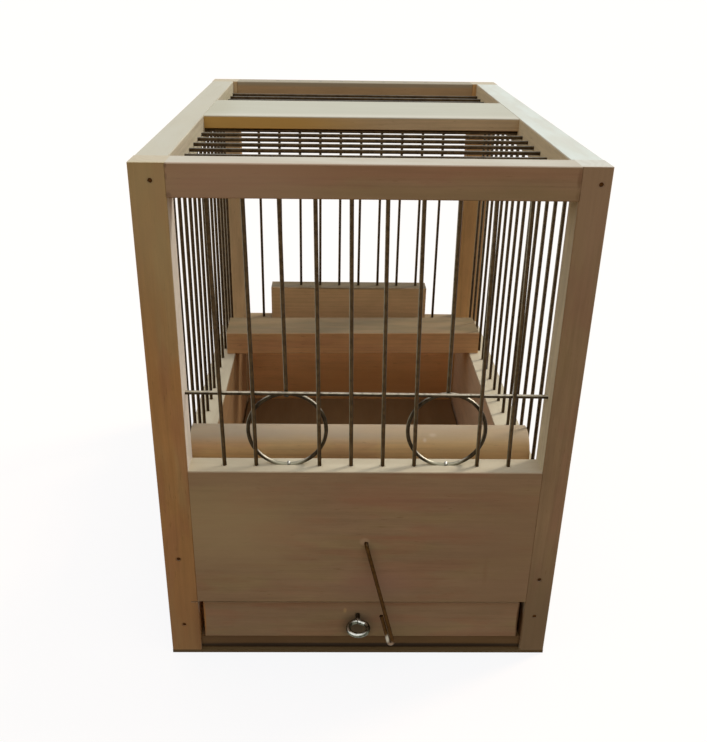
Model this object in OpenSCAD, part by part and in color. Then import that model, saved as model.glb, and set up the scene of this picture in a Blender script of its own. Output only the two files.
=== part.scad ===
// Songbird cage: a wooden frame with wire bars, a lift-up back door, a slide-out
// tray and a hanging wire latch.
// Millimetres, +Z up. The front faces -Y. The origin is the centre of the footprint,
// counting the ring of the screw eye that stands out in front.

/* [Overall size] */
// Width of the cage over the posts
width = 206; // [180:1:240]
// Depth of the cage from front face to back face
depth = 297; // [260:1:340]
// Height of the cage with its base sheet
height = 270; // [250:1:300]

/* [Frame timber] */
// Square stock of the top rails, and front-to-back size of every post
stock = 15; // [12:0.5:18]
// Width of the front left post
left_post_w = 15.8; // [12:0.1:18]
// Width of the front right post
right_post_w = 13.4; // [12:0.1:18]
// Width of the two back posts, seen from the back
back_post_w = 18; // [15:0.5:22]
// Front-to-back width of the board across the roof
roof_board_w = 61; // [40:1:80]
// Thickness of the board across the roof
roof_board_t = 7; // [4:0.1:7.5]
// Distance from the front face to the roof board
roof_board_y = 126.5; // [100:0.5:150]
// Easing of the long edges of the bars and boards
ease = 0.4; // [0.2:0.1:1]
// Length of the saw nick in the left post, level with the foot of the panel
nick_l = 3.7; // [1:0.1:6]
// Height of the saw nick
nick_h = 0.7; // [0.4:0.1:1.2]
// Depth of the saw nick
nick_depth = 1.2; // [0.5:0.1:3]

/* [Boards and base] */
// Height of the front panel
panel_h = 82.2; // [70:0.1:95]
// Thickness of the front panel
panel_t = 13.6; // [12:0.1:15]
// Height of the side boards and the back board
board_h = 83.3; // [70:0.1:95]
// Thickness of the two side boards
side_board_t = 16; // [12:0.5:20]
// Thickness of the sheet under the whole cage
sheet_t = 2; // [1.5:0.5:5]
// Thickness of the floor that the tray slides on
floor_t = 8; // [5:0.5:9]
// Setback of the floor's front edge behind the posts
floor_setback = 2; // [1:0.5:6]
// Height of the front panel's lower edge
slot_top = 35.6; // [32:0.1:45]

/* [Wires] */
// Diameter of every wire bar
wire_d = 2; // [1.6:0.1:2.4]
// Depth that a wire end is set into the wood
wire_set = 6; // [4:0.5:8]
// Number of upright wires in the front
front_count = 10; // [8:1:12]
// Pitch of the upright wires in the front
front_pitch = 15.9; // [12:0.1:17]
// Distance from the front face to the front wires
front_wire_y = 6.4; // [5:0.1:9]
// Angle at which the front wires lean, their feet standing to the right
front_lean = 0.8; // [0:0.1:1]
// Angle at which the cross wire drops to the right
cross_tilt = 0.4; // [0:0.1:0.5]
// Height of the middle of the cross wire above the tops of the feeding rings
cross_rise = 0.65; // [0:0.05:1]
// Number of wires in each side
side_count = 15; // [10:1:16]
// Distance from the front face to the first side wire
side_first = 42; // [25:0.5:45]
// Distance from the last side wire to the back face
side_last = 24; // [20:0.5:40]
// Number of wires in the roof
roof_count = 18; // [12:1:18]
// Distance from the front face to the first roof wire
roof_first = 27.6; // [22:0.2:32]
// Distance from the last roof wire to the back face
roof_last = 22; // [22:0.2:40]
// Distance of the roof wires below the middle of the rails
roof_wire_drop = 0.8; // [0.8:0.1:3]
// Number of wires in the back
back_count = 10; // [8:1:10]
// Pitch of the wires in the back
back_pitch = 15.4; // [12:0.1:16]
// Distance of the back wires and the back door to the right of the middle
back_shift = -2.1; // [-4:0.1:4]

/* [Feeding rings] */
// Outer diameter of the two wire rings in the front
ring_od = 40.8; // [34:0.1:42]
// Depth to which the rings' feet are pressed into the front panel's top
ring_sink = 1.25; // [0:0.05:1.5]

/* [Perches] */
// Diameter of the round perch behind the front panel
round_perch_d = 26; // [16:1:30]
// Distance from the front face to the middle of the round perch
round_perch_y = 57.5; // [45:0.5:80]
// Front-to-back width of the flat perch near the back
flat_perch_w = 31.5; // [20:0.5:40]
// Thickness of the flat perch
flat_perch_t = 16.3; // [10:0.1:22]
// Distance from the flat perch to the back face
flat_perch_back = 49.8; // [30:0.1:80]
// Angle at which the flat perch lies askew, its right end further back
flat_perch_turn = 1.2; // [0:0.1:2]
// Gap between each end of the flat perch and the side wires
flat_perch_gap = 1.2; // [1:0.1:3]

/* [Back door] */
// Width of the wooden foot of the lift-up door
door_foot_w = 124.4; // [110:0.1:130]
// Height of the wooden foot of the lift-up door
door_foot_h = 27.4; // [18:0.1:32]

/* [Tray] */
// Thickness of the tray's front board
tray_front_t = 15; // [10:0.5:18]
// Setback of the tray's front board behind the posts
tray_setback = 1.5; // [0:0.5:3]
// Gap between the tray's front board and each post
tray_side_gap = 2.6; // [1:0.1:4]
// Gap above the tray's front board
tray_top_gap = 1.5; // [0.5:0.1:3]
// Thickness of the tray's sheet
tray_t = 3.5; // [2:0.5:5]
// Depth of the groove that holds the tray's sheet
groove = 5; // [3:0.5:8]
// Gap between the tray's sheet and each side board
tray_sheet_gap = 1.5; // [0.5:0.1:3]

/* [Screw eye] */
// Outer diameter of the eye
eye_od = 13.1; // [10:0.1:18]
// Distance of the eye to the right of the middle
eye_x = -1; // [-3:0.1:3]
// Thickness of the eye's wire
eye_wire_d = 2.6; // [2:0.1:3]
// Height of the eye's screw
eye_z = 25.6; // [20:0.1:28]
// Length of the eye's neck between ring and wood
eye_neck = 5.2; // [4:0.1:6]
// Length of the eye's screw in the wood
eye_screw_l = 11; // [6:1:12]

/* [Latch] */
// Diameter of the latch wire
latch_d = 2; // [1.6:0.1:2.4]
// Height of the hole that the latch hangs in
latch_z = 74.5; // [65:0.5:90]
// Distance of the latch hole to the right of the middle
latch_x = 2.5; // [0:0.5:6]
// Length of the latch's straight shank
latch_l = 57.8; // [50:0.2:58]
// Radius of the latch's upper bend
latch_bend_r = 2.2; // [1.6:0.1:4]
// Angle at which the latch leans outward, so that it can drop through the eye
latch_lean = 7.6; // [4:0.1:8]
// Angle at which the latch hangs beside the eye
latch_angle = 14.9; // [12:0.1:25]
// Length of the tip that is bent back up
latch_tail = 17; // [10:0.5:25]
// Gap between the shank and the strand that is bent back up
strand_gap = 0.3; // [0.1:0.1:2]
// Extra thickness of the wire where the upper bend runs into the shank
latch_swell = 0.1; // [0.05:0.05:0.3]
// Depth of the latch's pivot in the front panel
latch_pin = 10; // [6:0.5:12]

/* [Nails] */
// Diameter of a nail
nail_d = 1.3; // [1:0.1:2]
// Diameter of a nail head
nail_head_d = 2; // [1.8:0.1:3.6]
// Thickness of a nail head
nail_head_t = 0.8; // [0.5:0.1:1.2]
// Length of a nail
nail_l = 20; // [16:1:20]
// Depth to which the nail heads are driven below the wood
nail_sink = 0.4; // [0.2:0.1:1]
// Height of the lower nail in the left posts
left_low_nail_z = 20; // [12:1:30]
// Height of the upper nail in the left posts
left_high_nail_z = 64; // [45:1:72]
// Height of the lower nail in the right posts
right_low_nail_z = 26; // [12:1:30]
// Height of the upper nail in the right posts
right_high_nail_z = 51; // [45:1:72]
// Distance of the top nail in the left posts from the outer face
left_top_nail_in = 9.2; // [4.5:0.1:10]
// Distance of the top nail in the right posts from the outer face
right_top_nail_in = 4.6; // [4.5:0.1:10]
// Distance of the panel's nails from its long edges
panel_nail_edge = 12; // [8:1:25]
// Distance of the back board's nails from its long edges
back_nail_edge = 10; // [8:1:25]
// Distance of the nails in the posts' outer faces below the rails' middle
rail_nail_drop = 4; // [3:0.5:5]

/* [Fits] */
// Radial clearance of a wire or nail in its hole
fit = 0.05; // [0.02:0.01:0.1]
// Radial clearance of a door wire in the back rail
door_fit = 0.25; // [0.1:0.05:0.4]
// Gap between pieces that only rest on each other or slide
rest_gap = 0.2; // [0.1:0.05:0.3]
// Gap between wires that are soldered where they touch
solder_gap = 0.02; // [0.01:0.01:0.05]

/* [Hidden] */

$fn = 48;
wood = [0.80, 0.68, 0.52];
wood_dark = [0.52, 0.38, 0.24];
steel = [0.42, 0.41, 0.38];
zinc = [0.72, 0.73, 0.70];
eps = 1;

half_w = width / 2;
rail_z = height - stock;
rail_mid_z = height - stock / 2;
post_mid = half_w - stock / 2;
inner_left = half_w - left_post_w;
inner_right = half_w - right_post_w;
inner_rail = half_w - stock;
inner_back = half_w - back_post_w;
inner_side = half_w - side_board_t;
back_y = depth - stock;
back_mid_y = depth - stock / 2;
board_top = sheet_t + board_h;
panel_top = slot_top + panel_h;
floor_top = sheet_t + floor_t;
wire_hole = wire_d + 2 * fit;
cross_y = front_wire_y + wire_d + solder_gap;
side_pitch = (depth - side_first - side_last) / (side_count - 1);
roof_pitch = (depth - roof_first - roof_last) / (roof_count - 1);
flat_perch_y = depth - flat_perch_back - flat_perch_w;

// Wires that stop above a feeding ring, counted from the left
short_wire = 2;
ring_r = (ring_od - wire_d) / 2;
ring_z = panel_top - ring_sink + ring_od / 2 + solder_gap;
ring_top_y = cross_y + wire_d + solder_gap;
cross_z = ring_z + ring_r + cross_rise;
// A short wire passes behind the cross wire and ends on its ring
short_foot_z = ring_z + ring_od / 2 + 2 * solder_gap;
short_lean = atan((ring_top_y - front_wire_y) / (rail_z - short_foot_z));
// Height above the ring's foot at which a neighbouring upright crosses in front of it
ring_cross_x = front_pitch - ring_r * tan(front_lean);
ring_cross_h = ring_r - sqrt(max(0, pow(ring_r, 2) - pow(ring_cross_x, 2)));
ring_cross_y = front_wire_y + wire_d + 2 * solder_gap;
ring_lean = (ring_top_y - ring_cross_y) / (2 * ring_r - ring_cross_h);
ring_foot_y = ring_top_y - ring_lean * 2 * ring_r;

tray_z = floor_top + rest_gap;
tray_front_top = slot_top - tray_top_gap;
tray_back_y = back_y - tray_sheet_gap;
tray_groove_y = tray_setback + tray_front_t - groove;

eye_r = (eye_od - eye_wire_d) / 2;
eye_y = tray_setback - eye_neck - eye_r;
front_reach = -(eye_y - eye_od / 2);

// Radius of the bend at the latch's tip, which brings the two strands side by side
tail_r = (latch_d + strand_gap) / 2;

// The front face lies at this place, so that the footprint is centred
front_face_y = -(depth - front_reach) / 2;

function spread(count, pitch) = [for (i = [0 : count - 1]) (i - (count - 1) / 2) * pitch];
function row(count, pitch, first) = [for (i = [0 : count - 1]) first + i * pitch];
front_xs = spread(front_count, front_pitch);
back_xs = [for (x = spread(back_count, back_pitch)) x + back_shift];
side_ys = row(side_count, side_pitch, side_first);
roof_ys = row(roof_count, roof_pitch, roof_first);
// Place of a leaning front wire at height z
function lean_x(i, z) = front_xs[i] + (rail_z - z) * tan(front_lean);
ring_xs = [lean_x(short_wire, ring_z), lean_x(front_count - 1 - short_wire, ring_z)];

module place() {
    translate([0, front_face_y, 0]) children();
}

module upright(x, y, z0, z1, d) {
    translate([x, y, z0]) cylinder(h = z1 - z0, d = d);
}

module torus(r, d) {
    rotate_extrude() translate([r, 0]) circle(d = d);
}

// A rectangle with eased corners
module eased_rect(w, h) {
    polygon([
        [ease, 0], [w - ease, 0], [w, ease], [w, h - ease],
        [w - ease, h], [ease, h], [0, h - ease], [0, ease]
    ]);
}

// Bars and boards whose long edges, along X, Y or Z, are eased
module bar_x(size) {
    rotate([90, 0, 90]) linear_extrude(size[0]) eased_rect(size[1], size[2]);
}

module bar_y(size) {
    translate([0, size[1], 0]) rotate([90, 0, 0])
        linear_extrude(size[1]) eased_rect(size[0], size[2]);
}

module bar_z(size) {
    linear_extrude(size[2]) eased_rect(size[0], size[1]);
}

// A nail along +Z, its head driven a little below z = 0
module nail() {
    translate([0, 0, nail_sink]) {
        cylinder(h = nail_l, d = nail_d);
        cylinder(h = nail_head_t, d = nail_head_d);
    }
}

module nail_hole() {
    translate([0, 0, -eps])
        cylinder(h = eps + nail_sink + nail_head_t + fit, d = nail_head_d + 2 * fit);
    cylinder(h = nail_sink + nail_l + fit, d = nail_d + 2 * fit);
}

// Distances from the outer face, and heights, of the nails in the posts' wide faces
left_nails = [
    [stock / 2, left_low_nail_z], [stock / 2, left_high_nail_z], [left_top_nail_in, rail_mid_z]
];
right_nails = [
    [stock / 2, right_low_nail_z], [stock / 2, right_high_nail_z], [right_top_nail_in, rail_mid_z]
];
front_nail_heights = [
    slot_top + panel_nail_edge, panel_top - panel_nail_edge, rail_mid_z - rail_nail_drop
];
back_nail_heights = [
    sheet_t + back_nail_edge, board_top - back_nail_edge, rail_mid_z - rail_nail_drop
];

// Places of the nails through the front and back of the posts into the side pieces
module at_depth_nails(side) {
    for (spot = side < 0 ? left_nails : right_nails) {
        x = side * (half_w - spot[0]);
        translate([x, 0, spot[1]]) rotate([-90, 0, 0]) children();
        translate([x, depth, spot[1]]) rotate([90, 0, 0]) children();
    }
}

// Places of the nails through the outer faces of the posts into the front or back
module at_width_nails(y, heights) {
    for (side = [-1, 1], z = heights)
        translate([side * half_w, y, z]) rotate([0, -90 * side, 0]) children();
}

module at_front_nails() {
    at_width_nails(stock / 2, front_nail_heights) children();
}

module at_back_nails() {
    at_width_nails(back_mid_y, back_nail_heights) children();
}

module front_wire_set(d, extra = 0) {
    for (i = [0 : front_count - 1]) {
        is_short = i == short_wire || i == front_count - 1 - short_wire;
        foot = is_short ? short_foot_z : panel_top - wire_set - extra;
        translate([front_xs[i], front_wire_y, rail_z])
            rotate([is_short ? short_lean : 0, -front_lean, 0])
                upright(0, 0, foot - rail_z, wire_set + extra, d);
    }
}

module side_wire_set(side, d, extra = 0) {
    for (y = side_ys)
        upright(side * post_mid, y, board_top - wire_set - extra, rail_z + wire_set + extra, d);
}

module back_wire_set(d, extra = 0) {
    for (x = [back_xs[0], back_xs[back_count - 1]])
        upright(x, back_mid_y, board_top - wire_set - extra, rail_z + wire_set + extra, d);
}

module roof_wire_set(d, extra = 0) {
    reach = inner_rail + wire_set + extra;
    for (y = roof_ys)
        translate([-reach, y, rail_mid_z - roof_wire_drop]) rotate([0, 90, 0])
            cylinder(h = 2 * reach, d = d);
}

module cross_wire(d, extra = 0) {
    translate([0, cross_y, cross_z]) rotate([0, 90 + cross_tilt, 0])
        upright(0, 0, -inner_left - wire_set - extra, inner_right + wire_set + extra, d);
}

// The ring stands behind the uprights and leans back against the cross wire
module feeding_ring(x, d) {
    translate([x, (ring_foot_y + ring_top_y) / 2, ring_z])
        rotate([90 - asin(ring_lean), 0, 0])
            torus(ring_r, d);
}

module door_wire_set(d, z0, z1) {
    for (i = [1 : back_count - 2])
        upright(back_xs[i], back_mid_y, z0, z1, d);
}

module front_post(side) {
    place() color(wood) difference() {
        translate([side < 0 ? -half_w : inner_right, 0, sheet_t])
            bar_z([side < 0 ? left_post_w : right_post_w, stock, height - sheet_t]);
        at_depth_nails(side) nail_hole();
        at_front_nails() nail_hole();
        cross_wire(wire_hole, fit);
        if (side < 0)
            translate([-inner_left - nick_l, -eps, slot_top - nick_h / 2])
                cube([nick_l + eps, nick_depth + eps, nick_h]);
    }
}

module back_post(side) {
    place() color(wood) difference() {
        translate([side < 0 ? -half_w : inner_back, back_y, sheet_t])
            bar_z([back_post_w, stock, height - sheet_t]);
        at_depth_nails(side) nail_hole();
        at_back_nails() nail_hole();
    }
}

module front_left_post() { front_post(-1); }
module front_right_post() { front_post(1); }
module back_left_post() { back_post(-1); }
module back_right_post() { back_post(1); }

module top_front_rail() {
    place() color(wood) difference() {
        translate([-inner_left, 0, rail_z]) bar_x([inner_left + inner_right, stock, stock]);
        front_wire_set(wire_hole, fit);
        at_front_nails() nail_hole();
    }
}

// The door's wires slide through this rail, so its holes go right through
module top_back_rail() {
    place() color(wood) difference() {
        translate([-inner_back, back_y, rail_z]) bar_x([2 * inner_back, stock, stock]);
        door_wire_set(wire_d + 2 * door_fit, rail_z - eps, height + eps);
        back_wire_set(wire_hole, fit);
        at_back_nails() nail_hole();
    }
}

module side_rail(side) {
    place() color(wood) difference() {
        translate([side < 0 ? -half_w : inner_rail, stock, rail_z])
            bar_y([stock, depth - 2 * stock, stock]);
        side_wire_set(side, wire_hole, fit);
        roof_wire_set(wire_hole, fit);
        at_depth_nails(side) nail_hole();
    }
}

module top_left_rail() { side_rail(-1); }
module top_right_rail() { side_rail(1); }

module roof_board() {
    place() color(wood)
        translate([-inner_rail, roof_board_y, height - roof_board_t])
            bar_x([2 * inner_rail, roof_board_w, roof_board_t]);
}

module front_panel() {
    place() color(wood) difference() {
        translate([-inner_left, 0, slot_top])
            bar_x([inner_left + inner_right, panel_t, panel_h]);
        front_wire_set(wire_hole, fit);
        for (x = ring_xs) feeding_ring(x, wire_hole);
        at_front_nails() nail_hole();
        translate([latch_x, -eps, latch_z]) rotate([-90, 0, 0])
            cylinder(h = latch_pin + eps + fit, d = latch_d + 2 * fit);
    }
}

module side_board(side) {
    place() color(wood) difference() {
        translate([side < 0 ? -half_w : inner_side, stock, sheet_t])
            bar_y([side_board_t, depth - 2 * stock, board_h]);
        side_wire_set(side, wire_hole, fit);
        at_depth_nails(side) nail_hole();
    }
}

module left_side_board() { side_board(-1); }
module right_side_board() { side_board(1); }

module back_board() {
    place() color(wood) difference() {
        translate([-inner_back, back_y, sheet_t]) bar_x([2 * inner_back, stock, board_h]);
        back_wire_set(wire_hole, fit);
        at_back_nails() nail_hole();
    }
}

module base_sheet() {
    place() color(wood_dark)
        translate([-half_w, 0, 0]) cube([width, depth, sheet_t]);
}

// The floor is notched round the front posts and lies between the boards
module fixed_floor() {
    front_w = inner_left + inner_right - 2 * rest_gap;
    half_floor = inner_side - rest_gap;
    place() color(wood_dark) union() {
        translate([-half_floor, floor_setback, sheet_t])
            cube([2 * half_floor, back_y - floor_setback - rest_gap, floor_t]);
        translate([rest_gap - inner_left, floor_setback, sheet_t])
            cube([front_w, stock - floor_setback - rest_gap, floor_t]);
    }
}

module front_wires() {
    place() color(steel) front_wire_set(wire_d);
}

module front_cross_wire() {
    place() color(steel) cross_wire(wire_d);
}

module left_feeding_ring() {
    place() color(steel) feeding_ring(ring_xs[0], wire_d);
}

module right_feeding_ring() {
    place() color(steel) feeding_ring(ring_xs[1], wire_d);
}

module left_side_wires() {
    place() color(steel) side_wire_set(-1, wire_d);
}

module right_side_wires() {
    place() color(steel) side_wire_set(1, wire_d);
}

module back_fixed_wires() {
    place() color(steel) back_wire_set(wire_d);
}

module roof_wires() {
    place() color(steel) roof_wire_set(wire_d);
}

perch_half = post_mid - wire_d / 2 - rest_gap;
flat_perch_half = post_mid - wire_d / 2 - flat_perch_gap;

module round_perch() {
    place() color(wood)
        translate([-perch_half, round_perch_y, board_top + round_perch_d / 2])
            rotate([0, 90, 0]) cylinder(h = 2 * perch_half, d = round_perch_d, $fn = 64);
}

module flat_perch() {
    place() color(wood)
        translate([0, flat_perch_y + flat_perch_w / 2, board_top]) rotate([0, 0, flat_perch_turn])
            translate([-flat_perch_half, -flat_perch_w / 2, 0])
                bar_x([2 * flat_perch_half, flat_perch_w, flat_perch_t]);
}

module frame_nails() {
    place() color(steel) {
        at_depth_nails(-1) nail();
        at_depth_nails(1) nail();
        at_front_nails() nail();
        at_back_nails() nail();
    }
}

door_foot_z = board_top + rest_gap;

module door_foot() {
    place() color(wood) difference() {
        translate([back_shift - door_foot_w / 2, back_y, door_foot_z])
            bar_x([door_foot_w, stock, door_foot_h]);
        door_wire_set(wire_hole, door_foot_z + door_foot_h - wire_set - fit,
            door_foot_z + door_foot_h + eps);
    }
}

// Closed, the door's wires end level with the top of the back rail
module door_wires() {
    place() color(steel)
        door_wire_set(wire_d, door_foot_z + door_foot_h - wire_set, height);
}

module tray_front() {
    left = inner_left - tray_side_gap;
    front_w = left + inner_right - tray_side_gap;
    place() color(wood) difference() {
        translate([-left, tray_setback, tray_z])
            bar_x([front_w, tray_front_t, tray_front_top - tray_z]);
        translate([-left - eps, tray_groove_y, tray_z - eps])
            cube([front_w + 2 * eps, groove + eps, tray_t + eps + fit]);
        translate([eye_x, tray_setback - eps, eye_z]) rotate([-90, 0, 0])
            cylinder(h = eye_screw_l + eps + fit, d = eye_wire_d + 2 * fit);
    }
}

// The sheet lies in a rebate along the foot of the tray's front board
module tray_sheet() {
    half = inner_side - tray_sheet_gap;
    place() color(wood_dark)
        translate([-half, tray_groove_y, tray_z])
            cube([2 * half, tray_back_y - tray_groove_y, tray_t]);
}

module screw_eye() {
    place() color(zinc) translate([eye_x, eye_y, eye_z]) union() {
        torus(eye_r, eye_wire_d);
        translate([0, eye_r, 0]) rotate([-90, 0, 0])
            cylinder(h = eye_neck + eye_screw_l, d = eye_wire_d);
    }
}

// Drawn hanging straight down from the pivot, then turned to its resting angle.
// The wire is a hair thicker where the bend runs into the shank.
module latch_shape() union() {
    shank_top = [0, -latch_bend_r * cos(latch_lean), -latch_bend_r * (1 - sin(latch_lean))];
    rotate([-90, 0, 0]) cylinder(h = latch_pin, d = latch_d);
    translate([0, 0, -latch_bend_r]) rotate([180, -90, 0])
        rotate_extrude(angle = 90 - latch_lean) translate([latch_bend_r, 0]) circle(d = latch_d);
    translate(shank_top) rotate([-latch_lean, 0, 0]) {
        sphere(d = latch_d + latch_swell);
        translate([0, 0, -latch_l]) cylinder(h = latch_l, d = latch_d);
        translate([-tail_r, 0, -latch_l]) rotate([-90, 0, 0])
            rotate_extrude(angle = 180) translate([tail_r, 0]) circle(d = latch_d);
        translate([-2 * tail_r, 0, -latch_l]) cylinder(h = latch_tail, d = latch_d);
    }
}

module latch_wire() {
    place() color(steel)
        translate([latch_x, 0, latch_z])
            rotate([0, -latch_angle, 0]) latch_shape();
}

front_left_post();
front_right_post();
back_left_post();
back_right_post();
top_front_rail();
top_back_rail();
top_left_rail();
top_right_rail();
roof_board();
front_panel();
left_side_board();
right_side_board();
back_board();
base_sheet();
fixed_floor();
front_wires();
front_cross_wire();
left_feeding_ring();
right_feeding_ring();
left_side_wires();
right_side_wires();
back_fixed_wires();
roof_wires();
round_perch();
flat_perch();
frame_nails();
door_foot();
door_wires();
tray_front();
tray_sheet();
screw_eye();
latch_wire();
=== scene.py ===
"""Songbird cage: bare softwood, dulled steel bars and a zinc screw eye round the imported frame.

Names that end in _mm are millimetres, and so are all the sizes and places that the
sub-assemblies hold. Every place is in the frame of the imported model: +Z up, the tray and
its screw eye at -Y.
"""

import logging
import math
from abc import ABC, abstractmethod
from dataclasses import dataclass
from enum import Enum

import bmesh
import bpy
from bmesh.types import BMesh, BMVert
from bpy.types import Material, NodeSocket, NodeTree
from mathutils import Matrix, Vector


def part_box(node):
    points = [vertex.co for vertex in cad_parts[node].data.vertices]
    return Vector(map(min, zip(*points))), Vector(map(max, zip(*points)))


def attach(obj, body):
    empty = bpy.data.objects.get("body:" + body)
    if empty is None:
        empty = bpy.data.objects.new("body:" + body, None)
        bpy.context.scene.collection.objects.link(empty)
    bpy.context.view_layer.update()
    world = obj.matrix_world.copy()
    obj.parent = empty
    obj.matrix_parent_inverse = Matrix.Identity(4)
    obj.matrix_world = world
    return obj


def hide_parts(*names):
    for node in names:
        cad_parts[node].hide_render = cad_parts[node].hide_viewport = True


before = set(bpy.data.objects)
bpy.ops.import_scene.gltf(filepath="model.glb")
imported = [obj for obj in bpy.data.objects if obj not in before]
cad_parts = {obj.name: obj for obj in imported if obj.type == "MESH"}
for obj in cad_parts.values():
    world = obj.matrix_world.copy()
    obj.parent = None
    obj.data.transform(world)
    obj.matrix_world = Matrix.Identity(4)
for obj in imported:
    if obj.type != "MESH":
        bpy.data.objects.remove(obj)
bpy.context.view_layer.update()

logging.basicConfig(level=logging.INFO, format="%(name)s: %(message)s")
log = logging.getLogger("songbird_cage")

MM = 0.001

Colour = tuple[float, float, float, float]
Point = tuple[float, float, float]
Pair = tuple[float, float]
Range = Pair

TO_RIGHT: Point = (1.0, 0.0, 0.0)
TO_LEFT: Point = (-1.0, 0.0, 0.0)
TO_FRONT: Point = (0.0, -1.0, 0.0)


class Along(Enum):
    """The axis that a piece's grain follows: how the log is turned, and the axis itself."""

    X = ((0.0, math.pi / 2, 0.0), (1.0, 0.0, 0.0))
    Y = ((math.pi / 2, 0.0, 0.0), (0.0, 1.0, 0.0))
    Z = ((0.0, 0.0, 0.0), (0.0, 0.0, 1.0))

    @property
    def turn(self) -> Point:
        """How the log is turned, as angles in radians."""
        return self.value[0]

    @property
    def axis(self) -> Point:
        """The axis as a unit vector."""
        return self.value[1]


class Kind(Enum):
    """Kinds of shader node: type, settings, the inputs that are filled, main output."""

    PLACE = ("TexCoord", {}, (), "Object")
    DIRECTION = ("TexCoord", {}, (), "Normal")
    SKY_DIRECTION = ("TexCoord", {}, (), "Generated")
    HEIGHT = ("SeparateXYZ", {}, ("Vector",), "Z")
    MAPPING = ("Mapping", {}, ("Vector", "Location", "Rotation", "Scale"), "Vector")
    STRETCH = ("Mapping", {}, ("Vector", "Scale"), "Vector")
    NOISE = ("TexNoise", {}, ("Vector", "Scale", "Detail", "Roughness"), "Fac")
    NOISE_3D = ("TexNoise", {}, ("Vector", "Scale", "Detail", "Roughness"), "Color")
    RINGS = (
        "TexWave",
        {"wave_type": "RINGS", "rings_direction": "Z", "wave_profile": "SIN"},
        ("Vector", "Scale", "Distortion", "Detail", "Detail Scale"),
        "Fac",
    )
    # Value, old range and new range, straight or easing in and out.
    SPREAD = ("MapRange", {"interpolation_type": "LINEAR"}, (0, 1, 2, 3, 4), 0)
    EASE = ("MapRange", {"interpolation_type": "SMOOTHSTEP"}, (0, 1, 2, 3, 4), 0)
    # The share of the upper colour, the lower colour and the upper one.
    MIX = ("Mix", {"data_type": "RGBA"}, (0, 6, 7), 2)
    ABSOLUTE = ("Math", {"operation": "ABSOLUTE"}, (0,), 0)
    PRODUCT = ("Math", {"operation": "MULTIPLY"}, (0, 1), 0)
    CLAMPED_SUM = ("Math", {"operation": "ADD", "use_clamp": True}, (0, 1), 0)
    DIFFERENCE = ("VectorMath", {"operation": "SUBTRACT"}, (0, 1), "Vector")
    VECTOR_PRODUCT = ("VectorMath", {"operation": "MULTIPLY"}, (0, 1), "Vector")
    PRODUCT_SUM = ("VectorMath", {"operation": "MULTIPLY_ADD"}, (0, 1, 2), "Vector")
    DOT = ("VectorMath", {"operation": "DOT_PRODUCT"}, (0, 1), "Value")
    LENGTH = ("VectorMath", {"operation": "LENGTH"}, (0,), "Value")
    SHADE = ("VectorMath", {"operation": "SCALE"}, (0, "Scale"), "Vector")
    BUMP = ("Bump", {}, ("Height", "Strength", "Distance"), "Normal")
    WOODEN = (
        "BsdfPrincipled",
        {},
        ("Base Color", "Roughness", "Normal", "IOR", "Specular IOR Level"),
        "BSDF",
    )
    METALLIC = ("BsdfPrincipled", {}, ("Base Color", "Roughness", "Normal", "Metallic"), "BSDF")
    GLOWING = (
        "BsdfPrincipled",
        {},
        ("Base Color", "Roughness", "Specular IOR Level", "Emission Color", "Emission Strength"),
        "BSDF",
    )
    CAMERA_RAY = ("LightPath", {}, (), "Is Camera Ray")
    GLOSSY_RAY = ("LightPath", {}, (), "Is Glossy Ray")
    GLASS_RAY = ("LightPath", {}, (), "Is Transmission Ray")
    BACKGROUND = ("Background", {}, ("Color",), "Background")
    MIX_SHADERS = ("MixShader", {}, (0, 1, 2), "Shader")
    MATERIAL_END = ("OutputMaterial", {}, ("Surface",), None)
    WORLD_END = ("OutputWorld", {}, ("Surface",), None)


def linear(colour: str) -> Colour:
    """Turns an sRGB colour into the linear one that shaders take.

    Args:
        colour: The colour as six hexadecimal digits after a number sign.

    Returns:
        Red, green, blue and an alpha of one.
    """
    parts = [int(colour[i : i + 2], 16) / 255 for i in (1, 3, 5)]
    red, green, blue = (
        c / 12.92 if c <= 0.04045 else ((c + 0.055) / 1.055) ** 2.4 for c in parts
    )
    return red, green, blue, 1.0


def add_node(tree: NodeTree, kind: Kind, *values: object) -> NodeSocket | None:
    """Adds a node with its settings, and fills or links its inputs.

    Args:
        tree: The node tree that gets the node.
        kind: The kind of node.
        values: What goes into the kind's inputs, in their order: an output to link, an
            sRGB colour as text, or a plain value.

    Returns:
        The node's main output, or None for the node that ends a tree.
    """
    name, settings, inputs, output = kind.value
    node = tree.nodes.new(f"ShaderNode{name}")
    for setting, value in settings.items():
        setattr(node, setting, value)
    for key, value in zip(inputs, values):
        if isinstance(value, NodeSocket):
            tree.links.new(value, node.inputs[key])
        else:
            node.inputs[key].default_value = linear(value) if isinstance(value, str) else value
    return None if output is None else node.outputs[output]


def new_material(name: str) -> tuple[Material, NodeTree]:
    """Makes an empty node material.

    Args:
        name: The material's name.

    Returns:
        The material and its node tree.
    """
    material = bpy.data.materials.new(name)
    material.use_nodes = True
    material.node_tree.nodes.clear()
    return material, material.node_tree


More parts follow.
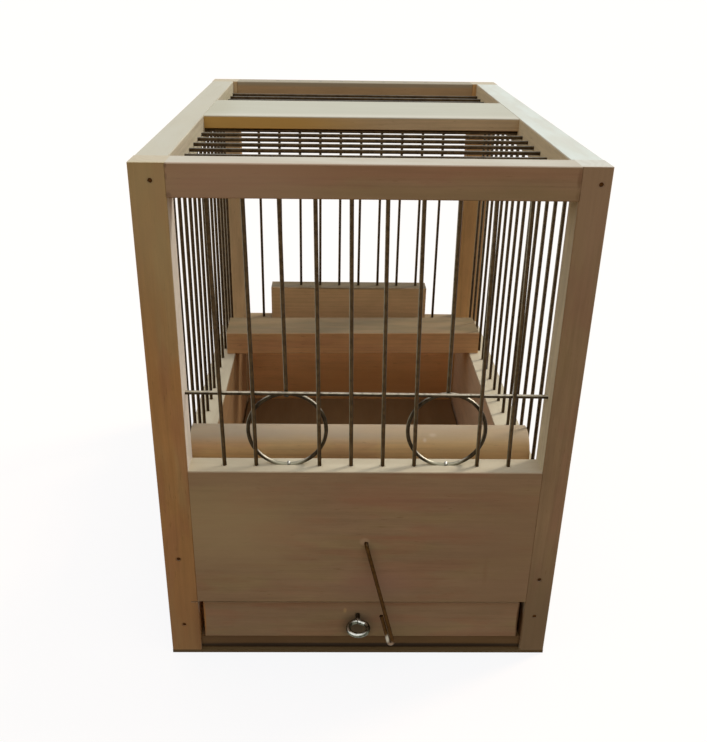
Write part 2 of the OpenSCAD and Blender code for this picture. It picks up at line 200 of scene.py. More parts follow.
@dataclass(frozen=True)
class Mark:
    """A soft colour at one place on a piece: a stain, smudge or scratch, or painted light or
    shade.
    """

    place_mm: Point
    reach_mm: Point
    colour: str
    strength: float = 0.6
    core: float = 0.3

    def lay(self, tree: NodeTree, place: NodeSocket, colour: NodeSocket) -> NodeSocket:
        """Lays the mark over a colour.

        Args:
            tree: The node tree.
            place: The place on the piece, in metres.
            colour: The colour below.

        Returns:
            The colour with the mark on it.
        """
        middle = tuple(c * MM for c in self.place_mm)
        per_reach = tuple(1.0 / (c * MM) for c in self.reach_mm)
        from_mark = add_node(tree, Kind.DIFFERENCE, place, middle)
        scaled = add_node(tree, Kind.VECTOR_PRODUCT, from_mark, per_reach)
        away = add_node(tree, Kind.LENGTH, scaled)
        share = add_node(tree, Kind.EASE, away, self.core, 1.0, self.strength, 0.0)
        return add_node(tree, Kind.MIX, share, colour, self.colour)


@dataclass(frozen=True)
class Upright:
    """An upright face that looks to the front: where it lies, and how deep its marks go."""

    y_mm: float
    deep_mm: float

    def patch(
        self,
        x: float,
        z: float,
        wide: float,
        high: float,
        colour: str,
        strength: float = 0.6,
        core: float = 0.3,
    ) -> Mark:
        """Sets a mark on the face.

        Args:
            x: Where its middle is, across.
            z: Where its middle is, upwards.
            wide: Half its width.
            high: Half its height.
            colour: Its sRGB colour.
            strength: How much of that shows in its core.
            core: The core's share of its reach.

        Returns:
            The mark.
        """
        reach = (wide, self.deep_mm, high)
        return Mark((x, self.y_mm, z), reach, colour, strength, core)


@dataclass(frozen=True)
class Facing:
    """Another colour painted on the faces that look one way: painted light, shade and highlights.
    """

    towards: Point
    colour: str
    strength: float = 0.9
    edge: Range = (0.70, 0.95)

    def lay(self, tree: NodeTree, normal: NodeSocket, colour: NodeSocket) -> NodeSocket:
        """Lays the colour over those faces.

        Args:
            tree: The node tree.
            normal: The surface's direction.
            colour: The colour below.

        Returns:
            The colour with these faces changed.
        """
        turned = add_node(tree, Kind.DOT, normal, self.towards)
        share = add_node(tree, Kind.EASE, turned, *self.edge, 0.0, self.strength)
        return add_node(tree, Kind.MIX, share, colour, self.colour)


@dataclass(frozen=True)
class Streaks:
    """An irregular pattern of wood, drawn out along the grain.

    The width is across the grain, drawn is that width's share of the length, and shows
    gives the noise's values at which the pattern begins and is full.
    """

    wide_mm: float
    drawn: float
    detail: float
    shows: Range
    roughness: float = 0.55

    def lay(
        self, tree: NodeTree, log_mm: NodeSocket, kind: Kind = Kind.NOISE
    ) -> NodeSocket:
        """Lays the bare noise in the log.

        Args:
            tree: The node tree.
            log_mm: The place in the log, in millimetres.
            kind: Noise of one value, or of three.

        Returns:
            The noise.
        """
        place = add_node(tree, Kind.STRETCH, log_mm, (1.0, 1.0, self.drawn))
        return add_node(tree, kind, place, 1.0 / self.wide_mm, self.detail, self.roughness)

    def amount(
        self,
        tree: NodeTree,
        log_mm: NodeSocket,
        least: float,
        most: float,
        kind: Kind = Kind.EASE,
    ) -> NodeSocket:
        """Turns the pattern into an amount of something.

        Args:
            tree: The node tree.
            log_mm: The place in the log, in millimetres.
            least: The amount where the pattern doesn't show.
            most: The amount where it is full.
            kind: Straight, or easing in and out.

        Returns:
            The amount.
        """
        return add_node(tree, kind, self.lay(tree, log_mm), *self.shows, least, most)


@dataclass(frozen=True)
class Softwood:
    """Bare planed softwood, never varnished, handled for years.

    The eye sees a nearly plain matt ground with slow drifts from yellow to pink, faint
    growth lines, short dark fibre flecks, upper faces in another tone (partly bleaching
    by daylight, partly painted light and shade from above), and paler sawn ends.
    """

    name: str
    ground: str
    yellow: str
    pink: str
    top_fading_and_shading: str
    sawn: str
    roughness: float = 0.74
    ior: float = 1.45
    specular: float = 0.25
    # Colour drifts, more than four times as long as they are wide.
    drift: float = 0.55
    yellow_drift: Streaks = Streaks(15.0, 0.22, 2.0, (0.47, 0.62))
    pink_drift: Streaks = Streaks(11.0, 0.22, 3.0, (0.48, 0.62))
    # Growth lines, 3 to 4 mm apart in slowly grown wood, how dark they are, and what
    # bends them.
    ring_mm: float = 3.4
    ring_depth: float = 0.07
    ring_shows: Range = (0.35, 1.0)
    ring_bends: Streaks = Streaks(12.5, 0.05, 2.0, (0.0, 1.0), 0.5)
    ring_bend_mm: float = 16.0
    ring_distortion: float = 2.0
    ring_detail: float = 2.0
    ring_detail_scale: float = 1.5
    # Fibres are half a millimetre wide here, coarser than real ones, so that they show.
    fibres: Streaks = Streaks(0.5, 0.03, 4.0, (0.3, 0.7))
    fibre_depth: float = 0.06
    fibre_bump: float = 0.30
    fibre_bump_mm: float = 0.12
    # Clouds of dust and handling.
    clouds: Streaks = Streaks(20.0, 0.35, 6.0, (0.25, 0.75), 0.72)
    mottle: float = 0.15
    # Resin flecks, under a millimetre wide and a few long.
    flecks: Streaks = Streaks(0.8, 0.10, 2.0, (0.66, 0.74))
    fleck: str = "#6E5234"
    fleck_share: float = 0.35
    # Upper faces take another tone, unevenly: partly bleaching by daylight, partly painted light
    # and shade from above.
    top_patches: Streaks = Streaks(9.0, 0.22, 3.0, (0.35, 0.65))
    top_patches_least: float = 0.80
    faces_up: Range = (0.55, 0.92)
    # Sawn ends, with their own growth lines.
    is_end: Range = (0.9, 0.97)
    end_line: str = "#8F7350"
    end_line_shows: Range = (0.3, 0.9)
    end_line_share: float = 0.08
    # Hands leave some streaks smoother than others.
    polish: Streaks = Streaks(6.0, 0.22, 2.0, (0.3, 0.7))
    polish_range: Range = (-0.06, 0.08)

    def rings(self, tree: NodeTree, log_mm: NodeSocket) -> NodeSocket:
        """Draws the growth lines, as a slow wave round the log's heart.

        Args:
            tree: The node tree.
            log_mm: The place in the log, in millimetres.

        Returns:
            The wave, from zero to one.
        """
        # The wave texture's period, at a scale of one.
        period = 0.314
        straight = add_node(tree, Kind.STRETCH, log_mm, (1.0, 1.0, self.ring_bends.drawn))
        bends = self.ring_bends.lay(tree, log_mm, Kind.NOISE_3D)
        reach = (self.ring_bend_mm, self.ring_bend_mm, 0.0)
        return add_node(
            tree,
            Kind.RINGS,
            add_node(tree, Kind.PRODUCT_SUM, bends, reach, straight),
            period / self.ring_mm,
            self.ring_distortion,
            self.ring_detail,
            self.ring_detail_scale,
        )

    def material(
        self,
        along: Along,
        cut_mm: Point,
        marks: tuple[Mark, ...] = (),
        faces: tuple[Facing, ...] = (),
    ) -> Material:
        """Makes the wood for one piece.

        Args:
            along: The axis that the grain follows.
            cut_mm: Where in the log the piece was cut, from the heart.
            marks: Stains on the piece.
            faces: The sides of the piece that get painted light and shade: another colour by the
                way they face.

        Returns:
            The material.
        """
        material, tree = new_material(f"{self.name}_{along.name.lower()}_{int(cut_mm[0])}")
        place, normal = add_node(tree, Kind.PLACE), add_node(tree, Kind.DIRECTION)
        # The grain is laid along the log's Z axis, and lengths become millimetres.
        log_mm = add_node(tree, Kind.MAPPING, place, cut_mm, along.turn, (1.0 / MM,) * 3)

        colour = self.ground
        for drift, tone in ((self.yellow_drift, self.yellow), (self.pink_drift, self.pink)):
            share = drift.amount(tree, log_mm, 0.0, self.drift)
            colour = add_node(tree, Kind.MIX, share, colour, tone)
        for face in faces:
            colour = face.lay(tree, normal, colour)

        rings, fibres = self.rings(tree, log_mm), self.fibres.lay(tree, log_mm)
        lines = add_node(tree, Kind.EASE, rings, *self.ring_shows, 1.0, 1.0 - self.ring_depth)
        lighter, darker = 1.0 + self.fibre_depth, 1.0 - self.fibre_depth
        grain = add_node(tree, Kind.SPREAD, fibres, *self.fibres.shows, darker, lighter)
        shade = add_node(tree, Kind.PRODUCT, lines, grain)
        lighter, darker = 1.0 + self.mottle, 1.0 - self.mottle
        dust = self.clouds.amount(tree, log_mm, darker, lighter, Kind.SPREAD)
        shade = add_node(tree, Kind.PRODUCT, shade, dust)
        colour = add_node(tree, Kind.SHADE, colour, shade)
        share = self.flecks.amount(tree, log_mm, 0.0, self.fleck_share)
        colour = add_node(tree, Kind.MIX, share, colour, self.fleck)

        # Upper faces: partly bleaching by daylight, partly painted light and shade from above.
        height = add_node(tree, Kind.HEIGHT, normal)
        upward = add_node(tree, Kind.EASE, height, *self.faces_up, 0.0, 1.0)
        top_patches = self.top_patches.amount(tree, log_mm, 1.0, self.top_patches_least)
        top_share = add_node(tree, Kind.PRODUCT, upward, top_patches)
        colour = add_node(tree, Kind.MIX, top_share, colour, self.top_fading_and_shading)

        turned = add_node(tree, Kind.DOT, normal, along.axis)
        turned = add_node(tree, Kind.ABSOLUTE, turned)
        is_end = add_node(tree, Kind.EASE, turned, *self.is_end, 0.0, 1.0)
        lines = add_node(tree, Kind.EASE, rings, *self.end_line_shows, 0.0, self.end_line_share)
        end_grain = add_node(tree, Kind.MIX, lines, self.sawn, self.end_line)
        colour = add_node(tree, Kind.MIX, is_end, colour, end_grain)

        for mark in marks:
            colour = mark.lay(tree, place, colour)
        smoother, rougher = (self.roughness + change for change in self.polish_range)
        rough = self.polish.amount(tree, log_mm, smoother, rougher, Kind.SPREAD)
        bump = add_node(tree, Kind.BUMP, fibres, self.fibre_bump, self.fibre_bump_mm * MM)
        surface = add_node(tree, Kind.WOODEN, colour, rough, bump, self.ior, self.specular)
        add_node(tree, Kind.MATERIAL_END, surface)
        return material


@dataclass(frozen=True)
class Metal:
    """Wire or plated metal, tarnished in small clouds, with painted highlights on the sides that
    face given ways.
    """

    name: str
    tarnish: str
    dull: str
    painted_highlights: tuple[Facing, ...]
    roughness: float = 0.42
    metallic: float = 0.95
    # Clouds of tarnish, a few millimetres across.
    cloud_mm: float = 2.5
    cloud_detail: float = 3.0
    cloud_roughness: float = 0.6
    clouded: Range = (0.35, 0.65)
    # Where the tarnish is thick, little of the painted highlight shows.
    thick: Range = (0.30, 0.55)
    thick_share: float = 0.55
    # The tarnish is rougher than the metal, and stands a little proud of it.
    rough_from: Range = (0.35, 0.7)
    rougher: float = 0.15
    bump: float = 0.2
    bump_mm: float = 0.05

    def material(self, marks: tuple[Mark, ...] = ()) -> Material:
        """Makes the metal's finish.

        Args:
            marks: Stains, tin, painted highlights and painted shade at places on the metal.

        Returns:
            The material.
        """
        material, tree = new_material(self.name)
        place, normal = add_node(tree, Kind.PLACE), add_node(tree, Kind.DIRECTION)
        scale = 1.0 / (self.cloud_mm * MM)
        clouds = add_node(tree, Kind.NOISE, place, scale, self.cloud_detail, self.cloud_roughness)
        clouded = add_node(tree, Kind.EASE, clouds, *self.clouded, 0.0, 1.0)
        colour = add_node(tree, Kind.MIX, clouded, self.tarnish, self.dull)
        bright = colour
        for side in self.painted_highlights:
            bright = side.lay(tree, normal, bright)
        share = add_node(tree, Kind.EASE, clouds, *self.thick, self.thick_share, 1.0)
        colour = add_node(tree, Kind.MIX, share, colour, bright)
        for mark in marks:
            colour = mark.lay(tree, place, colour)
        roughest = self.roughness + self.rougher
        rough = add_node(tree, Kind.SPREAD, clouds, *self.rough_from, self.roughness, roughest)
        bump = add_node(tree, Kind.BUMP, clouds, self.bump, self.bump_mm * MM)
        surface = add_node(tree, Kind.METALLIC, colour, rough, bump, self.metallic)
        add_node(tree, Kind.MATERIAL_END, surface)
        return material


# Frame bars: softwood, machine planed and left bare. Planing leaves it flat and matt, and
# years of handling give it a greyed brown with hardly a growth line.
FRAME_WOOD = Softwood("planed_softwood", "#A58969", "#A8906A", "#A37C60", "#CBC1AC", "#C6B99F")
# Left and back posts: planed softwood with more resin, which shows as an orange cast.
ORANGE_WOOD = Softwood("orange_softwood", "#B68A56", "#B69A6A", "#B07F56", "#C9BEA4", "#C8B99C")
# Right front post: planed from greyer softwood, with a pale, freshly rubbed end.
RIGHT_WOOD = Softwood(
    "right_post_softwood", "#9F8564", "#9D8860", "#9C795E", "#CFC9B8", "#D6CFBD"
)
# Right top rail: planed softwood, nearly white on top: partly bleaching by daylight, partly
# painted light from above.
PALE_RAIL = Softwood("pale_softwood", "#BBA480", "#B8A77F", "#B7977C", "#DADBCC", "#D6CFBD")
# Left top rail: the same planed wood, less pale on top, and yellowed by the hand that lifts it.
LEFT_RAIL = Softwood("left_rail_softwood", "#C3B79A", "#C2B895", "#BBAA8E", "#C6BEA8", "#C6B99F")
# Boards: softwood sawn flat across the log and planed, so growth lines are wide and faint.
PLANK = Softwood(
    "softwood_plank", "#9F8465", "#A18C64", "#9F785B", "#D9C9A8", "#B5A488",
    ring_mm=6.0, ring_depth=0.05,
)
# Round perch: softwood turned to a rod and rubbed by claws, warm and a little smoother.
PERCH = Softwood(
    "perch_softwood", "#D8B076", "#CBAA74", "#C79A6C", "#B8A284", "#B89A70", roughness=0.6
)
# Flat perch and door foot: planed batten, rubbed in front, with a dark top that is painted shade.
FLAT_PERCH = Softwood(
    "flat_perch_softwood", "#CB9C6C", "#C7A272", "#C08F66", "#84704E", "#B89A70", roughness=0.6
)
# Base, fixed floor and tray sheet: thin planed sheet wood, stained dark brown by damp.
SHEET = Softwood(
    "dark_sheet_wood", "#6B5130", "#6A5332", "#654B2F", "#82613B", "#6E5A40", roughness=0.62
)
# Painted highlights on the wires' faces that look up and to the left.
FROM_ABOVE = Facing((0.18, -0.20, 0.96), "#D8CEB8", 0.95, (0.62, 0.84))
FROM_LEFT = Facing((-0.92, -0.38, 0.10), "#A39C84", 0.6, (0.86, 0.97))
# Cross wire and rings: steel drawn through a die, which leaves a smooth skin. It has
# tarnished brown, with a painted highlight along the top and on the left.
BAR_STEEL = Metal("dulled_drawn_steel", "#2B2216", "#403524", (FROM_LEFT, FROM_ABOVE))
# Grille bars: the same drawn wire, more weathered, with a painted highlight on the left and a
# painted grey highlight on top.
GRILLE_STEEL = Metal(
    "weathered_drawn_steel", "#372A19", "#4E3D26",
    (FROM_LEFT, Facing((0.18, 0.0, 0.98), "#96948A", 0.75, (0.70, 0.92))),
)
# Latch: drawn steel bent by hand and browned by fingers, dark, warm and satin, with a painted
# highlight where it faces up and to the front.
LATCH_STEEL = Metal(
    "browned_steel_wire", "#3A260F", "#4E3518",
    (Facing((0.2, -0.3, 0.93), "#6E5A42", 0.5, (0.80, 0.96)),),
    roughness=0.5, metallic=1.0,
)
# Nails: drawn and headed steel, hammered flush and rusted to dull brown dots.
NAIL_STEEL = Metal("rusted_nail_steel", "#472A12", "#63401E", (), roughness=0.75, metallic=1.0)
# Screw eye: bent steel, zinc plated, dulled to a greenish grey, with a painted highlight
# where it faces the front and up.
ZINC = Metal(
    "zinc_plate", "#45463A", "#70725F",
    (Facing((-0.22, -0.5, 0.84), "#F0F1E8", 0.95, (0.74, 0.97)),),
    cloud_mm=1.6, roughness=0.26, metallic=1.0,
)
# Solder at the rings' feet: tin, melted on and left as it set, a lumpy bead with a painted
# highlight on top.
SOLDER = Metal(
    "tin_solder", "#5F5C50", "#8A877A",
    (Facing((0.1, -0.2, 0.97), "#E8E6DA", 0.9, (0.35, 0.85)),),
    cloud_mm=0.9, roughness=0.36, metallic=0.8,
)
# Solder on the cross wire: the same tin, dulled by dust and damp to a soft grey, with a painted
# grey highlight on top.
DULL_SOLDER = Metal(
    "dulled_tin_solder", "#33302A", "#4C493E",
    (Facing((0.1, 0.0, 1.0), "#8E8C7E", 0.8, (0.6, 0.95)),),
    cloud_mm=0.9, roughness=0.45, metallic=0.7,
)

# Three waves of irregular work by hand: radians per millimetre in X, Y and Z, and start.
HAND_WAVES = ((1.7, 2.3, 0.0, 0.6), (0.0, 2.9, -1.3, 2.1), (1.9, 0.0, 2.1, 4.0))
# How far a bead of solder swells, and how finely.
BEAD_SWELL, BEAD_WAVES = 0.16, 1.6


def dress(node: str, material: Material) -> None:
    """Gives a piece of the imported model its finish.

    Args:
        node: The piece's name.
        material: The finish.
    """
    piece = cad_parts[node]
    piece.data.materials.clear()
    piece.data.materials.append(material)
    log.info("%s dressed in %s", node, material.name)


@dataclass(frozen=True)
class Timber:
    """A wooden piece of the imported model, with the wood that it gets."""

    node: str
    wood: Softwood
    along: Along
    cut_mm: Point
    marks: tuple[Mark, ...] = ()
    faces: tuple[Facing, ...] = ()

    def dress(self) -> None:
        """Gives the piece its wood."""
        dress(self.node, self.wood.material(self.along, self.cut_mm, self.marks, self.faces))


def wobble(x: float, y: float, z: float) -> float:
    """Returns a smooth irregular value between -1 and 1 for a place in millimetres."""
    waves = (math.sin(a * x + b * y + c * z + start) for a, b, c, start in HAND_WAVES)
    return sum(waves) / len(HAND_WAVES)


def new_piece(
    name: str, work: BMesh, material: Material, body: str
) -> bpy.types.Object:
    """Turns a bmesh in millimetres into a smooth piece that rides on a body.

    Args:
        name: The piece's name.
        work: The shape, which is used up.
        material: The piece's finish.
        body: The body that carries the piece.

    Returns:
        The piece.
    """
    bmesh.ops.scale(work, vec=(MM, MM, MM), verts=work.verts)
    bmesh.ops.recalc_face_normals(work, faces=work.faces)
    mesh = bpy.data.meshes.new(name)
    work.to_mesh(mesh)
    work.free()
    for face in mesh.polygons:
        face.use_smooth = True
    mesh.materials.append(material)
    piece = bpy.data.objects.new(name, mesh)
    bpy.context.scene.collection.objects.link(piece)
    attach(piece, body)
    log.info("%s built with %d faces", name, len(mesh.polygons))
    return piece


def skin(work: BMesh, loops: list[list[BMVert]]) -> None:
    """Joins each loop of points to the next with a band of faces.

    Args:
        work: The bmesh that holds the loops.
        loops: The loops, all with as many points.
    """
    for one, two in zip(loops, loops[1:]):
        count = len(one)
        for k in range(count):
            after = (k + 1) % count
            work.faces.new((one[k], one[after], two[after], two[k]))


def sweep(work: BMesh, path: list[Vector], radii: list[float], sides: int) -> None:
    """Draws round wire along a path and closes its ends.

    Args:
        work: The bmesh that gets the wire.
        path: The middle of the wire, in millimetres.
        radii: The wire's radius at each point.
        sides: How many sides the wire has.
    """
    loops = []
    across = Vector((0.0, 0.0, 1.0))
    for number, (point, radius) in enumerate(zip(path, radii)):
        ahead = path[min(number + 1, len(path) - 1)] - path[max(number - 1, 0)]
        ahead.normalize()
        across = (across - ahead * across.dot(ahead)).normalized()
        beside = ahead.cross(across)
        loop = []
        for k in range(sides):
            turn = math.tau * k / sides
            up, out = radius * math.cos(turn), radius * math.sin(turn)
            loop.append(work.verts.new(point + across * up + beside * out))
        loops.append(loop)
    skin(work, loops)
    work.faces.new(loops[0])
    work.faces.new(list(reversed(loops[-1])))


def lump(work: BMesh, place: Point, reach: Point) -> None:
    """Sets an irregular bead of solder.

    Args:
        work: The bmesh that gets the bead.
        place: The bead's middle, in millimetres.
        reach: The bead's half sizes, in millimetres.
    """
    made = bmesh.ops.create_icosphere(work, subdivisions=4, radius=1.0)
    for vert in made["verts"]:
        way = vert.co.copy()
        waves = (c * BEAD_WAVES + p for c, p in zip(way, place))
        swell = 1.0 + BEAD_SWELL * wobble(*waves)
        vert.co = Vector(p + c * r * swell for p, c, r in zip(place, way, reach))


class SubAssembly(ABC):
    """A group of pieces that are made and finished together."""

    @abstractmethod
    def dress(self) -> None:
        """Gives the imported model's pieces their finishes."""

    def build(self) -> None:
        """Adds the meshes that only the eye needs, where the group has any."""


@dataclass
class TimberFrame(SubAssembly):
    """Posts, rails, the board across the roof and the nails."""

    # The front faces, and the posts' cheeks beside the tray.
    front: Upright = Upright(-140.8, 3.0)
    cheek: Upright = Upright(-133.0, 14.0)
    # Where the nails in front are, across and upwards.
    left_nails: tuple[Pair, ...] = ((-95.5, 20.0), (-95.5, 64.0), (-93.8, 262.5))
    right_nails: tuple[Pair, ...] = ((95.5, 26.0), (95.5, 51.0), (98.4, 262.5))
    # Where in the log the first bar was cut, and how far on each further one.
    first_cut: Point = (31.0, 42.0, 0.0)
    next_cut: Point = (17.0, 0.0, 11.0)

    def rust(self, nails: tuple[Pair, ...]) -> tuple[Mark, ...]:
        """Returns the rust that has spread into the wood round each nail."""
        return tuple(self.front.patch(x, z, 2.1, 1.9, "#5C3C20", 0.7, 0.4) for x, z in nails)

    def left_joint(self) -> tuple[Mark, ...]:
        """Stains the joint of the left post and the front rail with grime.

        Returns:
            The stains.
        """
        patch = self.front.patch
        return (
            patch(-86.9, 268.9, 0.9, 1.6, "#4A3420", 0.75),
            patch(-87.0, 264.3, 0.8, 2.2, "#5A4028", 0.6),
            patch(-86.4, 256.4, 1.6, 1.8, "#4A3420", 0.7),
        )

    def right_joint(self) -> tuple[Mark, ...]:
        """Stains the joint of the right post and the front rail with grime.

        Returns:
            The stains.
        """
        patch = self.front.patch
        return (
            patch(89.0, 264.8, 1.6, 6.0, "#6B4E34", 0.55),
            patch(89.2, 257.4, 1.8, 3.0, "#6B4E34", 0.5),
        )

    def left_post(self) -> tuple[Mark, ...]:
        """Marks the left post: joint, nails, painted shade on the cheek, a darker edge low down
        and two tones.

        Returns:
            The stains, the lowest first.
        """
        patch = self.front.patch
        return self.left_joint() + self.rust(self.left_nails) + (
            # Painted shade on the cheek beside the tray; then the front face darker low down
            # towards its edge.
            self.cheek.patch(-87.2, 16.0, 1.4, 21.0, "#C08A4C", 0.95, 0.5),
            patch(-87.6, 18.0, 4.6, 32.0, "#7E5A38", 0.7, 0.1),
            patch(-95.0, 255.0, 30.0, 90.0, "#BCAA7C", 0.6, 0.1),
            patch(-95.0, 20.0, 30.0, 70.0, "#A87E54", 0.6, 0.1),
        )

    def right_post(self) -> tuple[Mark, ...]:
        """Marks the right post: joint, nails, painted shade on the cheek and two tones.

        Returns:
            The stains, the lowest first.
        """
        patch = self.front.patch
        return self.right_joint() + self.rust(self.right_nails) + (
            # Painted shade on the cheek beside the tray.
            self.cheek.patch(89.6, 16.0, 1.4, 21.0, "#7A5026", 0.95, 0.5),
            patch(96.0, 255.0, 30.0, 70.0, "#AC9072", 0.6, 0.1),
            patch(96.2, 18.0, 30.0, 70.0, "#857054", 0.85, 0.1),
        )

    def front_rail(self) -> tuple[Mark, ...]:
        """Stains the front rail: both joints, two streaks and a lighter end.

        Returns:
            The stains, the lowest first.
        """
        patch = self.front.patch
        return self.left_joint() + self.right_joint() + (
            patch(10.0, 267.0, 150.0, 5.5, "#A67B5E", 0.55, 0.2),
            patch(20.0, 258.0, 150.0, 4.5, "#9F8962", 0.5, 0.2),
            patch(-60.0, 262.0, 60.0, 30.0, "#B6957A", 0.6, 0.1),
        )

    @staticmethod
    def roof_board() -> tuple[Mark, ...]:
        """Marks the roof board: resin in front, and an uneven pale top, partly bleaching by
        daylight and partly painted light.

        Returns:
            The stains, the lowest first.
        """
        return (
            Mark((-70.0, -14.2, 266.0), (95.0, 1.5, 9.0), "#CCA052", 0.9, 0.3),
            Mark((0.0, 16.0, 270.5), (240.0, 80.0, 1.6), "#C1BEA8", 0.7, 0.6),
            Mark((0.0, -13.5, 270.3), (260.0, 14.0, 1.4), "#D3CBB6", 0.8, 0.2),
            Mark((-88.0, 15.0, 270.2), (22.0, 60.0, 1.4), "#B8B096", 0.6, 0.2),
        )

    def dress(self) -> None:
        """Gives each bar wood from its own place in the log."""
        back_top = (Mark((0.0, 149.0, 271.0), (240.0, 30.0, 5.0), "#A5987F", 0.9, 0.6),)
        # The last entry of each bar is painted light and shade on one face: another colour where
        # it looks to that side.
        bars = (
            ("front_left_post", ORANGE_WOOD, Along.Z, self.left_post(), (TO_RIGHT, "#EEE2D0")),
            ("front_right_post", RIGHT_WOOD, Along.Z, self.right_post(), (TO_LEFT, "#E2DABD")),
            ("back_left_post", ORANGE_WOOD, Along.Z, (), (TO_FRONT, "#D8BC90")),
            ("back_right_post", ORANGE_WOOD, Along.Z, (), (TO_FRONT, "#D2A66E")),
            ("top_front_rail", FRAME_WOOD, Along.X, self.front_rail(), None),
            ("top_back_rail", FRAME_WOOD, Along.X, back_top, (TO_FRONT, "#BC9C72")),
            ("top_left_rail", LEFT_RAIL, Along.Y, (), None),
            ("top_right_rail", PALE_RAIL, Along.Y, (), (TO_LEFT, "#DFD1AD")),
            ("roof_board", FRAME_WOOD, Along.X, self.roof_board(), (TO_FRONT, "#CBB189")),
        )
        for number, (node, wood, along, marks, face_light) in enumerate(bars):
            cut = tuple(a + b * number for a, b in zip(self.first_cut, self.next_cut))
            faces = (Facing(*face_light),) if face_light else ()
            Timber(node, wood, along, cut, marks, faces).dress()
        dress("frame_nails", NAIL_STEEL.material())


@dataclass
class Planking(SubAssembly):
    """Panel, side boards, back board, base sheet and fixed floor."""

    front: Upright = Upright(-140.8, 20.0)
    # Tones that also reach the panel's top edge.
    front_and_top: Upright = Upright(-140.8, 40.0)
    panel_cut: Point = (210.0, 55.0, 0.0)
    side_cut: Point = (230.0, 61.0, 30.0)

    def panel(self) -> tuple[Mark, ...]:
        """Stains the panel: tones, streaks, and a pale rub round the latch's hole.

        Returns:
            The stains, the lowest first.
        """
        tone, patch = self.front_and_top.patch, self.front.patch
        return (
            tone(-72.0, 84.0, 70.0, 46.0, "#B39C75", 0.7, 0.1),
            tone(84.0, 70.0, 60.0, 80.0, "#9A7E60", 0.6, 0.1),
            patch(12.0, 103.0, 46.0, 12.0, "#A2785C", 0.5, 0.1),
            patch(20.0, 78.0, 52.0, 2.6, "#A07358", 0.5, 0.1),
            patch(38.0, 101.0, 44.0, 2.2, "#96705A", 0.55, 0.1),
            patch(8.0, 48.0, 34.0, 14.0, "#A5826E", 0.5, 0.1),
            patch(-52.0, 60.0, 40.0, 2.4, "#A08462", 0.45, 0.1),
            patch(66.0, 56.0, 2.2, 14.0, "#8E7052", 0.35, 0.1),
            patch(1.6, 75.4, 3.4, 3.2, "#BFA283", 0.55, 0.45),
        )

    def dress(self) -> None:
        """Gives each board its wood; inside, the boards get orange tones that are painted light
        and shade.
        """
        # Another orange on the lower inside of the left board, part of the painted light and
        # shade inside.
        low_left = Mark((-88.0, 60.0, 14.0), (8.0, 170.0, 44.0), "#C49A6A", 0.9, 0.4)
        inner_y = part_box("back_board")[0][1] / MM
        back_marks = (
            # Painted shade low on the back board's inside, and a painted shadow on its top.
            Mark((20.0, inner_y, 10.0), (130.0, 6.0, 52.0), "#CC965C", 0.75, 0.4),
            Mark((0.0, 149.0, 85.8), (130.0, 24.0, 2.0), "#957A55", 0.9, 0.6),
        )
        edge = Mark((0.0, -140.0, 1.0), (220.0, 8.0, 3.0), "#5C4A2C", 0.8, 0.4)
        # A dark painted shade along the fixed floor's front, under the tray.
        groove_shade = Mark((0.0, -135.0, 3.6), (200.0, 12.0, 2.3), "#201407", 0.92, 0.45)
        # Inside faces: painted light and shade by the way each looks.
        left_inside_light = Facing(TO_RIGHT, "#AC8458")
        right_inside_light = Facing(TO_LEFT, "#DEC2A2")
        back_inside_light = Facing(TO_FRONT, "#F6C083", 1.0)
        right_cut, back_cut = (250.0, 48.0, 60.0), (270.0, 52.0, 90.0)
        for board in (
            Timber("front_panel", PLANK, Along.X, self.panel_cut, self.panel()),
            Timber("left_side_board", PLANK, Along.Y, self.side_cut, (low_left,), (left_inside_light,)),
            Timber("right_side_board", PLANK, Along.Y, right_cut, (), (right_inside_light,)),
            Timber("back_board", PLANK, Along.X, back_cut, back_marks, (back_inside_light,)),
            Timber("base_sheet", SHEET, Along.X, (290.0, 40.0, 0.0), (edge,)),
            Timber("fixed_floor", SHEET, Along.X, (310.0, 44.0, 0.0), (groove_shade,)),
        ):
            board.dress()


